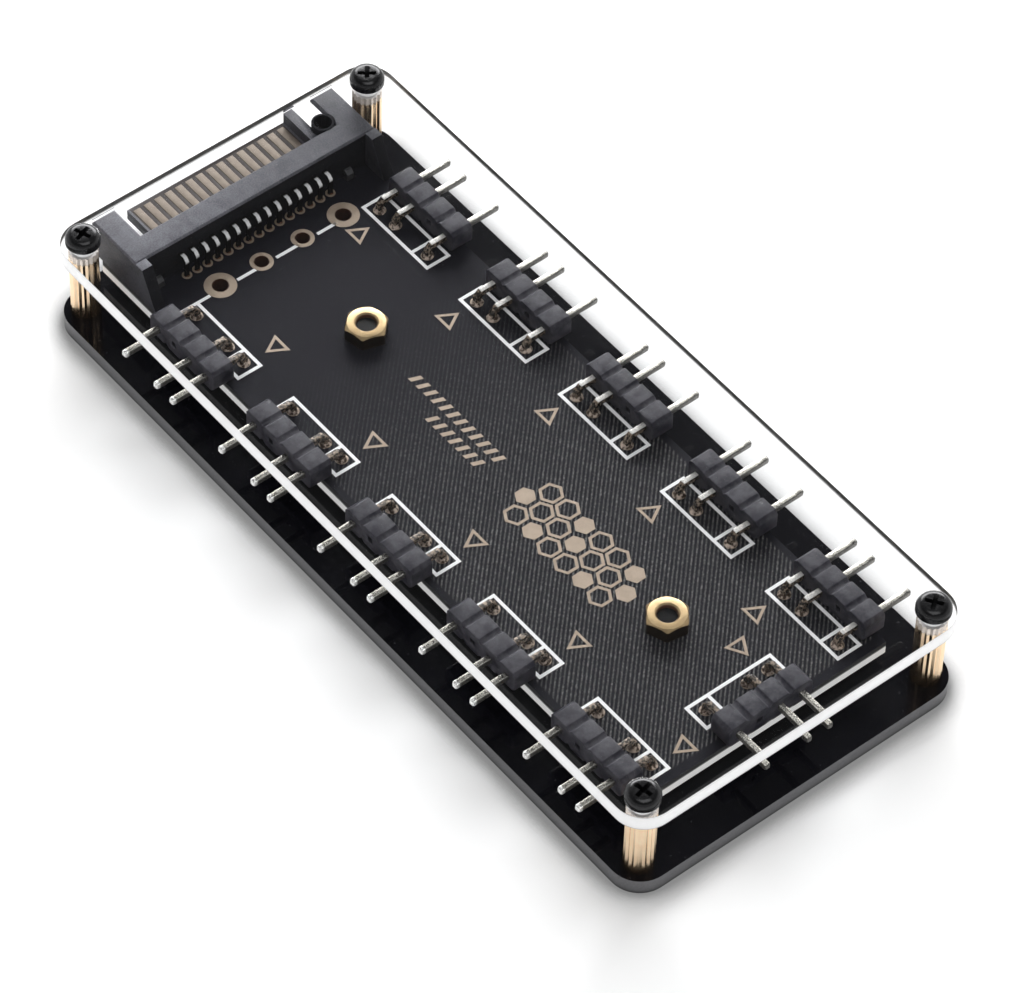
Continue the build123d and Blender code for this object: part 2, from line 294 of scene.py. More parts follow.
def eased(node, width, material, segments=2):
    """A copy of a CAD node with its outer edges rounded, which stands for the node."""
    shape = bmesh.new()
    shape.from_mesh(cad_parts[node].data)
    bmesh.ops.remove_doubles(shape, verts=shape.verts, dist=1e-7)
    flat = math.radians(1.0)
    bmesh.ops.dissolve_limit(shape, angle_limit=flat, verts=shape.verts, edges=shape.edges)
    sharp = [e for e in shape.edges if e.is_manifold and e.is_convex and e.calc_face_angle() > 0.4]
    bmesh.ops.bevel(
        shape, geom=sharp, offset=width * MM, offset_type="OFFSET", segments=segments,
        profile=0.6, affect="EDGES", clamp_overlap=True,
    )
    mesh = bpy.data.meshes.new(f"{node}_eased")
    shape.to_mesh(mesh)
    shape.free()
    mesh.materials.clear()
    mesh.materials.append(material)
    mesh.shade_smooth()
    mesh.set_sharp_from_angle(angle=math.radians(38))
    obj = bpy.data.objects.new(f"{node}_eased", mesh)
    bpy.context.scene.collection.objects.link(obj)
    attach(obj, "root")
    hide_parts(node)
    return obj


def bar(start, end, width, low=TOP, high=TOP + SKIN):
    """A straight flat bar from one point to another, square at its ends."""
    along = Vector(end) - Vector(start)
    across = Vector((-along.y, along.x)).normalized() * width / 2
    tip = along.normalized() * width / 2
    a = Vector(start) - tip
    b = Vector(end) + tip
    outline = [a - across, b - across, b + across, a + across]
    return prism([(p.x, p.y) for p in outline], low, high)


def inset(points, amount):
    """A convex outline moved inwards by a distance."""
    count = len(points)
    lines = []
    for i in range(count):
        p = Vector(points[i])
        along = (Vector(points[(i + 1) % count]) - p).normalized()
        lines.append((p + Vector((-along.y, along.x)) * amount, along))
    moved = []
    for i in range(count):
        p, d = lines[i - 1]
        q, e = lines[i]
        cross = d.x * e.y - d.y * e.x
        t = ((q.x - p.x) * e.y - (q.y - p.y) * e.x) / cross
        moved.append((p.x + d.x * t, p.y + d.y * t))
    return moved


# Material helpers


class Shader:
    """The node tree of a material, or of a world, with short ways to add to it."""

    def __init__(self, name, owners="materials", output="ShaderNodeOutputMaterial"):
        """An empty tree in a new material, or in a new member of another collection."""
        self.owner = getattr(bpy.data, owners).new(name)
        self.owner.use_nodes = True
        self.tree = self.owner.node_tree
        self.tree.nodes.clear()
        self.output = self.node(output)

    def node(self, kind, **settings):
        """A new node with its settings."""
        made = self.tree.nodes.new(kind)
        for key, value in settings.items():
            setattr(made, key, value)
        return made

    def put(self, value, socket):
        """Link an output, or set a plain value."""
        if isinstance(value, bpy.types.NodeSocket):
            self.tree.links.new(value, socket)
        else:
            socket.default_value = value

    def math(self, operation, a, b=0.0):
        """The result of one operation on numbers."""
        made = self.node("ShaderNodeMath", operation=operation)
        self.put(a, made.inputs[0])
        self.put(b, made.inputs[1])
        return made.outputs[0]

    def plus(self, a, b):
        """The sum of two numbers."""
        return self.math("ADD", a, b)

    def minus(self, a, b):
        """One number less another."""
        return self.math("SUBTRACT", a, b)

    def times(self, a, b):
        """The product of two numbers."""
        return self.math("MULTIPLY", a, b)

    def either(self, a, b):
        """The larger of two numbers."""
        return self.math("MAXIMUM", a, b)

    def above(self, a, b):
        """One where a is above b, and zero elsewhere."""
        return self.math("GREATER_THAN", a, b)

    def below(self, a, b):
        """One where a is below b, and zero elsewhere."""
        return self.math("LESS_THAN", a, b)

    def size(self, a):
        """A number without its sign."""
        return self.math("ABSOLUTE", a)

    def ramp(self, value, low, high, out_low=0.0, out_high=1.0):
        """A smooth step of a value."""
        made = self.node("ShaderNodeMapRange", interpolation_type="SMOOTHSTEP")
        for socket, number in zip(made.inputs[:5], (value, low, high, out_low, out_high)):
            self.put(number, socket)
        return made.outputs[0]

    def mix(self, factor, a, b):
        """A colour between a and b."""
        made = self.node("ShaderNodeMix", data_type="RGBA")
        self.put(factor, made.inputs[0])
        self.put(a, made.inputs[6])
        self.put(b, made.inputs[7])
        return made.outputs[2]

    def mix_value(self, factor, a, b):
        """A number between a and b."""
        made = self.node("ShaderNodeMix", data_type="FLOAT")
        self.put(factor, made.inputs[0])
        self.put(a, made.inputs[2])
        self.put(b, made.inputs[3])
        return made.outputs[0]

    def place(self):
        """X, Y and Z of the point, in millimetres."""
        coords = self.node("ShaderNodeTexCoord")
        scaled = self.node("ShaderNodeVectorMath", operation="SCALE")
        self.put(coords.outputs["Object"], scaled.inputs[0])
        scaled.inputs["Scale"].default_value = 1 / MM
        split = self.node("ShaderNodeSeparateXYZ")
        self.put(scaled.outputs[0], split.inputs[0])
        return scaled.outputs[0], split.outputs[0], split.outputs[1], split.outputs[2]

    def noise(self, vector, scale, detail=3.0, rough=0.55):
        """A number that varies irregularly from place to place."""
        made = self.node("ShaderNodeTexNoise")
        self.put(vector, made.inputs["Vector"])
        made.inputs["Scale"].default_value = scale
        made.inputs["Detail"].default_value = detail
        made.inputs["Roughness"].default_value = rough
        return made.outputs["Fac"]

    def marks(self, vector, grain, slow=1.1):
        """Slow changes over a metal, and the fine marks on it."""
        return self.noise(vector, slow, 4.0, 0.6), self.noise(vector, grain, 3.0, 0.6)

    def facing(self):
        """X, Y and Z of the direction that the surface faces."""
        geometry = self.node("ShaderNodeNewGeometry")
        split = self.node("ShaderNodeSeparateXYZ")
        self.put(geometry.outputs["True Normal"], split.inputs[0])
        return split.outputs

    def on_top(self):
        """One where the surface faces up or down, and zero on its sides."""
        return self.above(self.size(self.facing()[2]), 0.5)

    def from_inside(self):
        """One where the surface is seen from within its solid."""
        return self.node("ShaderNodeNewGeometry").outputs["Backfacing"]

    def reach(self, x, y, centre_x, centre_y):
        """How far a point lies from an upright axis."""
        across = self.minus(x, centre_x)
        along = self.minus(y, centre_y)
        return self.math("SQRT", self.plus(self.times(across, across), self.times(along, along)))

    def clear(self, color):
        """A surface that lets light straight through, tinted."""
        made = self.node("ShaderNodeBsdfTransparent")
        made.inputs["Color"].default_value = color
        return made.outputs[0]

    def bump(self, height, strength, distance):
        """A normal that leans with a height, at a depth in millimetres."""
        made = self.node("ShaderNodeBump")
        self.put(height, made.inputs["Height"])
        made.inputs["Strength"].default_value = strength
        made.inputs["Distance"].default_value = distance * MM
        return made.outputs[0]

    def surface(self, **sockets):
        """A Principled surface with the named sockets set or linked."""
        made = self.node("ShaderNodeBsdfPrincipled")
        for key, value in sockets.items():
            self.put(value, made.inputs[key.replace("_", " ")])
        return made.outputs[0]

    def blend(self, factor, a, b):
        """A surface between a and b."""
        made = self.node("ShaderNodeMixShader")
        self.put(factor, made.inputs[0])
        self.put(a, made.inputs[1])
        self.put(b, made.inputs[2])
        return made.outputs[0]

    def done(self, shader):
        """Use a shader as the surface, and return what owns the tree."""
        self.put(shader, self.output.inputs["Surface"])
        return self.owner


def rgb(r, g, b):
    """A colour that covers fully."""
    return (r, g, b, 1.0)


WHITE = rgb(1.0, 1.0, 1.0)


# Materials


def make_cover():
    """Clear sheet with frosted cut edges that glow with painted light, which lets light through to what
    lies under it.
    """
    s = Shader("clear_sheet")
    vector, x, y, z = s.place()
    haze = s.noise(vector, 0.25, 2.0)
    clear = s.surface(
        Base_Color=rgb(0.985, 0.99, 0.995),
        Roughness=s.ramp(haze, 0.3, 0.8, 0.0, 0.02),
        IOR=1.49,
        Transmission_Weight=1.0,
    )
    scratch = s.noise(vector, 9.0, 4.0)
    middle = (COVER_LOW.z + COVER_HIGH.z) / 2
    rim = s.ramp(s.size(s.minus(z, middle)), 0.62, 0.86)
    saw = s.mix(scratch, rgb(0.94, 0.945, 0.955), WHITE)
    # Painted light: the cut edges glow a little, less near their top and bottom, where they also turn
    # darker
    frosted = s.surface(
        Base_Color=s.mix(s.times(rim, 0.4), saw, rgb(0.5, 0.49, 0.48)),
        Roughness=0.38,
        IOR=1.49,
        Emission_Color=WHITE,
        Emission_Strength=s.times(s.minus(1.0, rim), 0.22),
        Normal=s.bump(scratch, 0.2, 0.05),
    )
    # Seen from within the sheet, a far edge shows a painted reflection: a dark line above a clear band
    upper = s.ramp(z, COVER_HIGH.z - 1.7, COVER_HIGH.z - 0.85)
    line = s.surface(Base_Color=rgb(0.1, 0.098, 0.094), Roughness=0.5)
    inner = s.blend(upper, s.clear(rgb(0.97, 0.97, 0.97)), line)
    # The walls of the screw holes stay frosted from both sides
    away = s.reach(s.size(x), s.size(y), CORNER_X, CORNER_Y)
    outside = s.above(away, SCREW_HOLE + 0.1)
    edge = s.blend(s.times(s.from_inside(), outside), frosted, inner)
    look = s.blend(s.on_top(), edge, clear)
    path = s.node("ShaderNodeLightPath")
    through = s.either(path.outputs["Is Shadow Ray"], path.outputs["Is Diffuse Ray"])
    return s.done(s.blend(through, look, s.clear(rgb(0.94, 0.945, 0.95))))


def make_base():
    """Polished black sheet with greyer cut edges and a little dust."""
    s = Shader("black_sheet")
    vector, _, _, z = s.place()
    top = s.on_top()
    dust = s.above(s.noise(vector, 2.2, 2.0, 0.4), 0.735)
    face_color = s.mix(s.times(dust, 0.25), rgb(0.005, 0.005, 0.007), rgb(0.12, 0.12, 0.13))
    saw = s.noise(vector, 5.0, 5.0, 0.7)
    # The cut edge turns darker towards its foot
    lower = s.ramp(z, 0.1, 0.5)
    cut = s.mix(saw, rgb(0.1, 0.1, 0.107), rgb(0.27, 0.27, 0.28))
    bottom = s.times(s.minus(1.0, lower), 0.6)
    side_color = s.mix(bottom, cut, rgb(0.03, 0.03, 0.032))
    smear = s.noise(vector, 0.12, 3.0)
    return s.done(s.surface(
        Base_Color=s.mix(top, side_color, face_color),
        Roughness=s.mix_value(top, 0.42, s.ramp(smear, 0.3, 0.75, 0.05, 0.12)),
        IOR=1.49,
        Normal=s.bump(s.times(saw, s.minus(1.0, top)), 0.25, 0.03),
    ))


def make_board():
    """Black solder mask with fine slanting copper lines under it, and pale laminate at the edges."""
    s = Shader("solder_mask")
    vector, x, y, z = s.place()
    top = s.on_top()
    slant = s.times(s.plus(x, y), math.sqrt(0.5) / HATCH_PITCH)
    wave = s.math("SINE", s.times(slant, 2 * math.pi))
    ragged = s.noise(vector, 1.3, 4.0, 0.65)
    fine = s.noise(vector, 4.5, 3.0, 0.6)
    wear = s.times(s.minus(fine, 0.5), 2.4)
    line = s.ramp(s.plus(wave, wear), -0.1, 0.8)
    span = s.times(s.ramp(x, -22.0, 10.0), s.ramp(x, 38.3, 37.9))
    middle = (BOARD_LOW.y + BOARD_HIGH.y) / 2
    half = (BOARD_HIGH.y - BOARD_LOW.y) / 2
    aside = s.size(s.minus(y, middle))
    inside = s.times(span, s.ramp(aside, half - 0.6, half - 0.9))
    hatch = s.times(s.times(line, inside), s.ramp(ragged, 0.15, 0.6, 0.45, 1.0))
    mask_color = s.mix(ragged, rgb(0.0065, 0.0062, 0.0105), rgb(0.011, 0.0105, 0.0155))
    dots = s.ramp(s.noise(vector, 3.4, 2.0, 0.7), 0.45, 0.7)
    color = s.mix(hatch, mask_color, s.mix(dots, rgb(0.075, 0.074, 0.073), rgb(0.2, 0.195, 0.19)))
    # Lower down the edge the laminate turns dark, and there it glows with painted light
    rim = s.ramp(z, TOP - 0.5, TOP - 0.85)
    laminate = s.mix(fine, rgb(0.78, 0.77, 0.76), rgb(0.95, 0.94, 0.93))
    laminate = s.mix(rim, rgb(0.06, 0.06, 0.062), laminate)
    return s.done(s.surface(
        Base_Color=s.mix(top, laminate, color),
        Roughness=s.mix_value(top, 0.6, s.ramp(ragged, 0.2, 0.8, 0.5, 0.6)),
        IOR=1.5,
        Specular_IOR_Level=0.08,
        Emission_Color=rgb(1.0, 0.99, 0.97),
        Emission_Strength=s.times(s.minus(1.0, top), s.times(rim, 0.28)),
        Normal=s.bump(s.times(hatch, top), 0.5, 0.02),
    ))


def make_plastic(name, dark, light, rough, grain):
    """Moulded plastic with a fine grain and slow mottling."""
    s = Shader(name)
    vector = s.place()[0]
    slow = s.ramp(s.noise(vector, 0.8, 4.0, 0.65), 0.35, 0.65)
    fast = s.noise(vector, grain, 3.0, 0.6)
    return s.done(s.surface(
        Base_Color=s.mix(slow, dark, light),
        Roughness=s.ramp(slow, 0.25, 0.75, rough - 0.06, rough + 0.06),
        IOR=1.5,
        Specular_IOR_Level=0.3,
        Normal=s.bump(fast, 0.22, 0.03),
    ))


def make_socket():
    """Matt moulding of the power connector, with painted shade on the face that its tails leave, on its
    upright ends and in its bore, and a painted sheen towards its left end.
    """
    s = Shader("socket_moulding")
    vector, x, y, z = s.place()
    slow = s.ramp(s.noise(vector, 0.7, 4.0, 0.6), 0.3, 0.7)
    fast = s.noise(vector, 6.0, 4.0, 0.7)
    speck = s.plus(s.times(slow, 0.5), s.times(s.ramp(fast, 0.35, 0.65), 0.5))
    color = s.mix(speck, rgb(0.055, 0.054, 0.068), rgb(0.21, 0.208, 0.235))
    # Painted sheen: the moulding is lighter towards its left end and darker towards its right
    color = s.mix(s.times(s.ramp(y, -14.0, 15.0), 0.5), color, rgb(0.02, 0.02, 0.026))
    # Painted shade: the face that the tails leave turns near black, and the upright ends darker
    back = s.above(s.facing()[0], 0.9)
    side = s.above(s.size(s.facing()[1]), 0.9)
    shade = s.either(s.times(back, 0.93), s.times(side, 0.55))
    color = s.mix(shade, color, rgb(0.006, 0.006, 0.008))
    # The tongue is brown between its contacts
    low = s.times(s.below(z, CONTACT_HIGH.z + 0.1), s.above(s.facing()[2], 0.9))
    tongue = s.times(low, s.below(s.size(y), CONTACT_HIGH.y + 0.15))
    color = s.mix(s.times(tongue, 0.8), color, rgb(0.035, 0.022, 0.016))
    # Painted shade in and around the bore of the boss
    bore = s.below(s.reach(x, y, BORE_X, BORE_Y), BORE_SHADE)
    return s.done(s.surface(
        Base_Color=s.mix(s.times(bore, 0.9), color, rgb(0.006, 0.006, 0.008)),
        Roughness=s.ramp(slow, 0.25, 0.75, 0.48, 0.6),
        IOR=1.5,
        Specular_IOR_Level=s.mix_value(s.either(shade, bore), 0.35, 0.05),
        Normal=s.bump(fast, 0.25, 0.03),
    ))


def make_metal(name, dark, light, rough, grain, strength=0.15, metallic=1.0):
    """Metal with slow changes of colour and fine marks."""
    s = Shader(name)
    vector = s.place()[0]
    slow, fast = s.marks(vector, grain)
    return s.done(s.surface(
        Base_Color=s.mix(slow, dark, light),
        Metallic=metallic,
        Roughness=s.ramp(fast, 0.2, 0.8, rough - 0.06, rough + 0.08),
        Normal=s.bump(fast, strength, 0.02),
    ))


def make_nut_metal():
    """Golden brass, bright on top, with painted shade on its flanks and in its bore."""
    s = Shader("nut_brass_metal")
    vector, x, y, _ = s.place()
    slow, fast = s.marks(vector, 2.0)
    middle = (NUTS_X[0] + NUTS_X[1]) / 2
    away = s.reach(s.size(s.minus(x, middle)), y, NUTS_X[1] - middle, NUTS_Y)
    # Painted shade in the bore
    bore = s.below(away, NUT_BORE + 0.02)
    brass = s.mix(slow, rgb(0.43, 0.3, 0.152), rgb(0.57, 0.43, 0.25))
    # Painted shade: the flanks are darker than the top
    brass = s.mix(s.ramp(s.facing()[2], 0.35, 0.75), rgb(0.09, 0.06, 0.035), brass)
    return s.done(s.surface(
        Base_Color=s.mix(bore, brass, rgb(0.25, 0.12, 0.07)),
        Metallic=s.mix_value(bore, 1.0, 0.4),
        Roughness=s.ramp(fast, 0.2, 0.8, 0.3, 0.42),
    ))


def make_contact_plating():
    """Worn beige plating on the tongue, with a painted highlight at the bend of each tail and painted
    shade down its leg.
    """
    s = Shader("contact_plating")
    vector, x, y, z = s.place()
    slow, fast = s.marks(vector, 8.0, 1.4)
    blade = s.mix(slow, rgb(0.172, 0.133, 0.102), rgb(0.295, 0.25, 0.205))
    upper = s.ramp(z, CONTACT_HIGH.z - 0.75, CONTACT_HIGH.z - 0.45)
    outer = s.ramp(x, CONTACT_HIGH.x - 0.95, CONTACT_HIGH.x - 0.7)
    # The painted highlight covers only the middle of each tail
    number = s.math("DIVIDE", s.minus(y, CONTACT_HIGH.y - CONTACT_HALF), TAIL_PITCH)
    stray = s.size(s.minus(number, s.math("ROUND", number)))
    bend = s.times(s.times(upper, outer), s.ramp(stray, 0.19, 0.12))
    # Painted highlight at the bend, painted shade down the leg
    leg = s.mix(bend, rgb(0.006, 0.005, 0.005), WHITE)
    tail = s.above(x, CONTACT_HIGH.x - 2.2)
    return s.done(s.surface(
        Base_Color=s.mix(tail, blade, leg),
        Metallic=s.mix_value(tail, 0.25, 0.0),
        Roughness=s.mix_value(tail, 0.55, 0.35),
        Specular_IOR_Level=s.mix_value(tail, 0.3, s.times(bend, 0.5)),
        Normal=s.bump(fast, 0.2, 0.02),
    ))


def make_pin_plating():
    """Plating outside the headers, with painted highlights and shade, and painted dark brown shade on the
    legs behind them.
    """
    s = Shader("pin_plating")
    vector, x, y, z = s.place()
    slow, fast = s.marks(vector, 8.0)
    bright = s.mix(slow, rgb(0.72, 0.69, 0.6), rgb(0.86, 0.84, 0.78))
    # Painted shade: the legs behind the headers are dark brown
    blotch = s.ramp(s.noise(vector, 3.2, 2.0, 0.6), 0.45, 0.6)
    legs_shade_and_highlight = s.mix(blotch, rgb(0.02, 0.014, 0.01), rgb(0.3, 0.23, 0.17))
    # Painted highlight on the bends on the right half of the board
    crown = s.times(s.ramp(z, TOP + 1.36, TOP + 1.56), s.ramp(s.facing()[2], 0.75, 0.95))
    crown = s.times(crown, s.ramp(y, 5.0, 7.0, 0.05, 1.0))
    legs_shade_and_highlight = s.mix(crown, legs_shade_and_highlight, rgb(0.8, 0.78, 0.74))
    # Painted shade on the sides of the pins and along their shafts towards both ends of the board, a
    # painted highlight at the left tips and painted shade at the right tips
    up = s.ramp(s.facing()[2], 0.88, 0.99)
    pin_shade = rgb(0.13, 0.125, 0.115)
    bright = s.mix(up, pin_shade, bright)
    bright = s.mix(s.ramp(y, -9.0, -11.0, 0.0, 0.6), bright, pin_shade)
    bright = s.mix(s.ramp(y, 9.0, 11.0, 0.0, 0.4), bright, pin_shade)
    bright = s.mix(s.ramp(y, PINS_LEFT + 0.6, PINS_LEFT + 0.35), bright, rgb(1.0, 1.0, 0.98))
    bright = s.mix(s.ramp(y, PINS_RIGHT - 1.2, PINS_RIGHT - 0.5), bright, rgb(0.2, 0.195, 0.18))
    outer = s.above(s.size(y), HEADER_BACK_Y)
    outer = s.either(outer, s.above(x, HEADER_BACK_X))
    return s.done(s.surface(
        Base_Color=s.mix(outer, legs_shade_and_highlight, bright),
        Metallic=s.mix_value(outer, 0.3, s.mix_value(up, 0.4, 1.0)),
        Roughness=s.ramp(fast, 0.2, 0.8, 0.2, 0.34),
        Normal=s.bump(fast, 0.02, 0.01),
    ))


def make_solder():
    """Uneven joints, dark brown with painted pale glints."""
    s = Shader("solder_tin")
    vector = s.place()[0]
    blotch = s.ramp(s.noise(vector, 2.2, 2.0, 0.6), 0.42, 0.6)
    return s.done(s.surface(
        Base_Color=s.mix(blotch, rgb(0.07, 0.045, 0.03), rgb(0.66, 0.54, 0.45)),
        Metallic=0.5,
        Roughness=0.35,
        Normal=s.bump(blotch, 0.5, 0.06),
    ))


def make_brass():
    """Warm brass, with painted light: a pale face at each end and a pale band below the top."""
    s = Shader("turned_brass")
    vector, _, _, z = s.place()
    slow, fast = s.marks(vector, 9.0)
    # Painted light: a pale band below the top, and pale end faces
    upper = s.times(s.ramp(z, STANDOFF_HIGH.z - 1.1, STANDOFF_HIGH.z - 0.7), 0.7)
    end = s.either(s.on_top(), upper)
    brass = s.mix(slow, rgb(0.88, 0.62, 0.38), rgb(0.98, 0.8, 0.58))
    return s.done(s.surface(
        Base_Color=s.mix(end, brass, rgb(0.95, 0.9, 0.87)),
        Metallic=s.mix_value(end, 1.0, 0.0),
        Roughness=s.ramp(fast, 0.2, 0.8, 0.14, 0.28),
        Normal=s.bump(fast, 0.1, 0.02),
    ))


def make_silk():
    """White printing ink, a little uneven."""
    s = Shader("white_ink")
    vector = s.place()[0]
    wear = s.noise(vector, 3.0, 4.0, 0.6)
    return s.done(s.surface(
        Base_Color=s.mix(wear, rgb(0.88, 0.88, 0.88), WHITE),
        Roughness=0.6,
        # Painted glow: the ink gives out a little light of its own
        Emission_Color=WHITE,
        Emission_Strength=0.14,
        Normal=s.bump(wear, 0.2, 0.02),
    ))


COVER = make_cover()
BASE = make_base()
BOARD = make_board()
HEADER = make_plastic("header_moulding", rgb(0.012, 0.011, 0.02), rgb(0.058, 0.055, 0.067), 0.5, 14.0)
SOCKET = make_socket()
NYLON = make_plastic("spacer_moulding", rgb(0.02, 0.02, 0.02), rgb(0.035, 0.035, 0.035), 0.5, 10.0)
BRASS = make_brass()
NUT = make_nut_metal()
GOLD = make_metal("bare_gold", rgb(0.268, 0.204, 0.148), rgb(0.404, 0.32, 0.24), 0.45, 7.0, 0.2, 0.3)
# Plating of the spare holes, which also darkens the tails' joints as painted shade
PLATING_AND_JOINT_SHADE = make_metal("hole_plating_and_joint_shade", rgb(0.06, 0.025, 0.012), rgb(0.14, 0.06, 0.03), 0.4, 5.0, 0.1, 0.3)
CONTACT = make_contact_plating()
PIN_METAL = make_pin_plating()
TIN = make_solder()
# Painted shade: the lock tabs are darkened to near black
SHADED_STEEL = make_metal("lock_steel_shaded", rgb(0.03, 0.03, 0.032), rgb(0.12, 0.12, 0.125), 0.5, 8.0, 0.15, 0.5)
SCREW = make_metal("black_oxide", rgb(0.01, 0.01, 0.011), rgb(0.03, 0.03, 0.032), 0.2, 3.0, 0.5, 0.5)
SILK = make_silk()

NODE_MATERIALS = {
    "base_plate": BASE,
    "cover_plate": COVER,
    "circuit_board": BOARD,
    "cover_screws": SCREW,
    "base_screws": SCREW,
    "board_screws": SCREW,
    "board_nuts": NUT,
    "board_spacers": NYLON,
    "power_housing": SOCKET,
    "power_contacts": CONTACT,
    "board_locks": SHADED_STEEL,
}
for header in HEADERS:
    NODE_MATERIALS[f"header_housing_{header}"] = HEADER
    NODE_MATERIALS[f"header_pins_{header}"] = PIN_METAL
for corner in CORNERS:
    NODE_MATERIALS[f"standoff_{corner}"] = BRASS


def dress_nodes():
    """Give every CAD node its material."""
    for name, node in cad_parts.items():
        node.data.materials.clear()
        node.data.materials.append(NODE_MATERIALS[name])


def round_edges():
    """Stand-ins with softly rounded edges for the mouldings, the pins and the contacts."""
    for name in HEADERS:
        eased(f"header_housing_{name}", HOUSING_EASE, HEADER)
        eased(f"header_pins_{name}", PIN_EASE, PIN_METAL, 3)
    eased("power_housing", SOCKET_EASE, SOCKET)
    eased("power_contacts", CONTACT_EASE, CONTACT)


# Printing on the board


def silk_box(low_x, high_x, low_y, high_y, divider, along_x):
    """One header's printed box, with the line that sets its last place apart."""
    half = SILK_WIDTH / 2
    inner = [(low_x, low_y), (high_x, low_y), (high_x, high_y), (low_x, high_y)]
    frame_part = hollow(inset(inner, -half), inset(inner, half), TOP, TOP + SKIN)
    if along_x:
        line = bar((divider, low_y + SILK_WIDTH), (divider, high_y - SILK_WIDTH), SILK_WIDTH)
    else:
        line = bar((low_x + SILK_WIDTH, divider), (high_x - SILK_WIDTH, divider), SILK_WIDTH)
    return [frame_part, line]


def make_silk_print():
    """Every white line on the board."""
    parts = []
    for name in SIDE_HEADERS:
        x = pads_of(name)[0][0]
        low, high = box_mm(f"header_housing_{name}")
        face = low.y if name.startswith("left") else high.y
        inward = 1 if name.startswith("left") else -1
        ys = sorted((face + inward * SILK_OUTER, face + inward * SILK_INNER))
        parts += silk_box(x - SILK_END, x + 3.5 * PITCH, ys[0], ys[1], x + 2.5 * PITCH, True)
    face = box_mm("header_housing_front")[1].x
    first = pads_of("front")[0][1]
    parts += silk_box(
        face - SILK_INNER - SILK_FRONT_EXTRA, face - SILK_OUTER, first - SILK_END, first + 3.5 * PITCH,
        first + 0.5 * PITCH, False,
    )
    x = pads_of("left_1")[0][0] - SILK_END
    for start, end in SILK_RUNS:
        parts.append(bar((x, start), (x, end), SILK_WIDTH))
    return piece("silk_print", *merged(parts), SILK, "board_black")


def make_triangles():
    """Outlined gold triangles that mark the first place of each header."""
    half = TRIANGLE_SIDE / 2
    height = TRIANGLE_SIDE * math.sqrt(3) / 2
    parts = []
    for name in SIDE_HEADERS:
        first = pads_of(name)[0][0]
        low, high = box_mm(f"header_housing_{name}")
        if name.startswith("left"):
            x = first + 3 * PITCH + TRIANGLE_LEFT_SHIFT
            base = low.y + TRIANGLE_SETBACK
            outline = [(x + half, base), (x - half, base), (x, base - height)]
        else:
            x = first + (TRIANGLE_REAR_SHIFT if name == "right_1" else 0.0)
            base = high.y - TRIANGLE_SETBACK + TRIANGLE_RIGHT_RISE
            outline = [(x - half, base), (x + half, base), (x, base + height)]
        parts.append(hollow(outline, inset(outline, TRIANGLE_LINE), TOP, TOP + SKIN))
    x = box_mm("header_housing_front")[1].x - TRIANGLE_SETBACK
    y = pads_of("front")[2][1] - TRIANGLE_FRONT_SHIFT
    outline = [(x, y + half), (x, y - half), (x + height, y)]
    parts.append(hollow(outline, inset(outline, TRIANGLE_LINE), TOP, TOP + SKIN))
    return piece("place_marks", *merged(parts), GOLD, "contact_gold")


def make_comb_mark():
    """A plain gold honeycomb in the middle of the board, every third cell filled."""
    middle_x, middle_y = COMB_MIDDLE
    reach = COMB_CELL / math.sqrt(3) - 0.12
    angles = [math.radians(30 + 60 * k) for k in range(6)]
    parts = []
    for row in (-1, 0, 1):
        count = 6 if row else 7
        for n in range(count):
            x = middle_x + COMB_CELL * (n - (count - 1) / 2)
            y = middle_y + row * COMB_CELL * math.sqrt(3) / 2
            outline = [(x + reach * math.cos(a), y + reach * math.sin(a)) for a in angles]
            if (n + row) % 3 == 0:
                parts.append(prism(inset(outline, 0.2), TOP, TOP + SKIN))
            else:
                parts.append(hollow(outline, inset(outline, 0.3), TOP, TOP + SKIN))
    return piece("comb_mark", *merged(parts), GOLD, "contact_gold")


def make_stripe_mark():
    """Two rows of slanting gold stripes, beside the honeycomb."""
    parts = []
    for row, first, count in STRIPE_ROWS:
        low = row - STRIPE_HALF
        high = row + STRIPE_HALF
        for n in range(count):
            x = first + STRIPE_PITCH * n
            end = x + STRIPE_WIDTH
            outline = [(x, low), (end, low), (end + STRIPE_LEAN, high), (x + STRIPE_LEAN, high)]
            parts.append(prism(outline, TOP, TOP + SKIN))
    return piece("stripe_mark", *merged(parts), GOLD, "contact_gold")


# Bare metal and solder


def make_spare_rings():
    """Bare rings and plated walls of the four-hole row."""
    parts = []
    walls = []
    x = tails()[0][0] + SPARE_SETBACK
    for offset, outer, hole in SPARE_HOLES:
        y = SPARE_MIDDLE + offset
        parts.append(ring(x, y, outer, hole - 0.02, TOP, TOP + SKIN))
        walls.append(ring(x, y, hole, hole - HOLE_PLATING, BOARD_LOW.z, TOP + SKIN, 32))
    piece("spare_hole_walls", *merged(walls), PLATING_AND_JOINT_SHADE, "contact_gold")
    piece("spare_rings", *merged(parts), GOLD, "contact_gold")


def blob(seed):
    """A slightly uneven outline for a solder joint."""
    chance = random.Random(seed)
    phases = [chance.uniform(0, 2 * math.pi) for _ in range(3)]
    sizes = [chance.uniform(0.02, 0.07) for _ in range(3)]

    def wobble(angle, radius):
        waves = [math.sin((k + 2) * angle + phase) for k, phase in enumerate(phases)]
        total = sum(size * wave for size, wave in zip(sizes, waves))
        return 1 + total * min(1.0, radius / 0.6)

    return wobble


def on_board(joint):
    """A solder joint's radii and heights, from its rises above the board."""
    return [(radius, TOP + JOINT_BASE + rise) for radius, rise in joint]


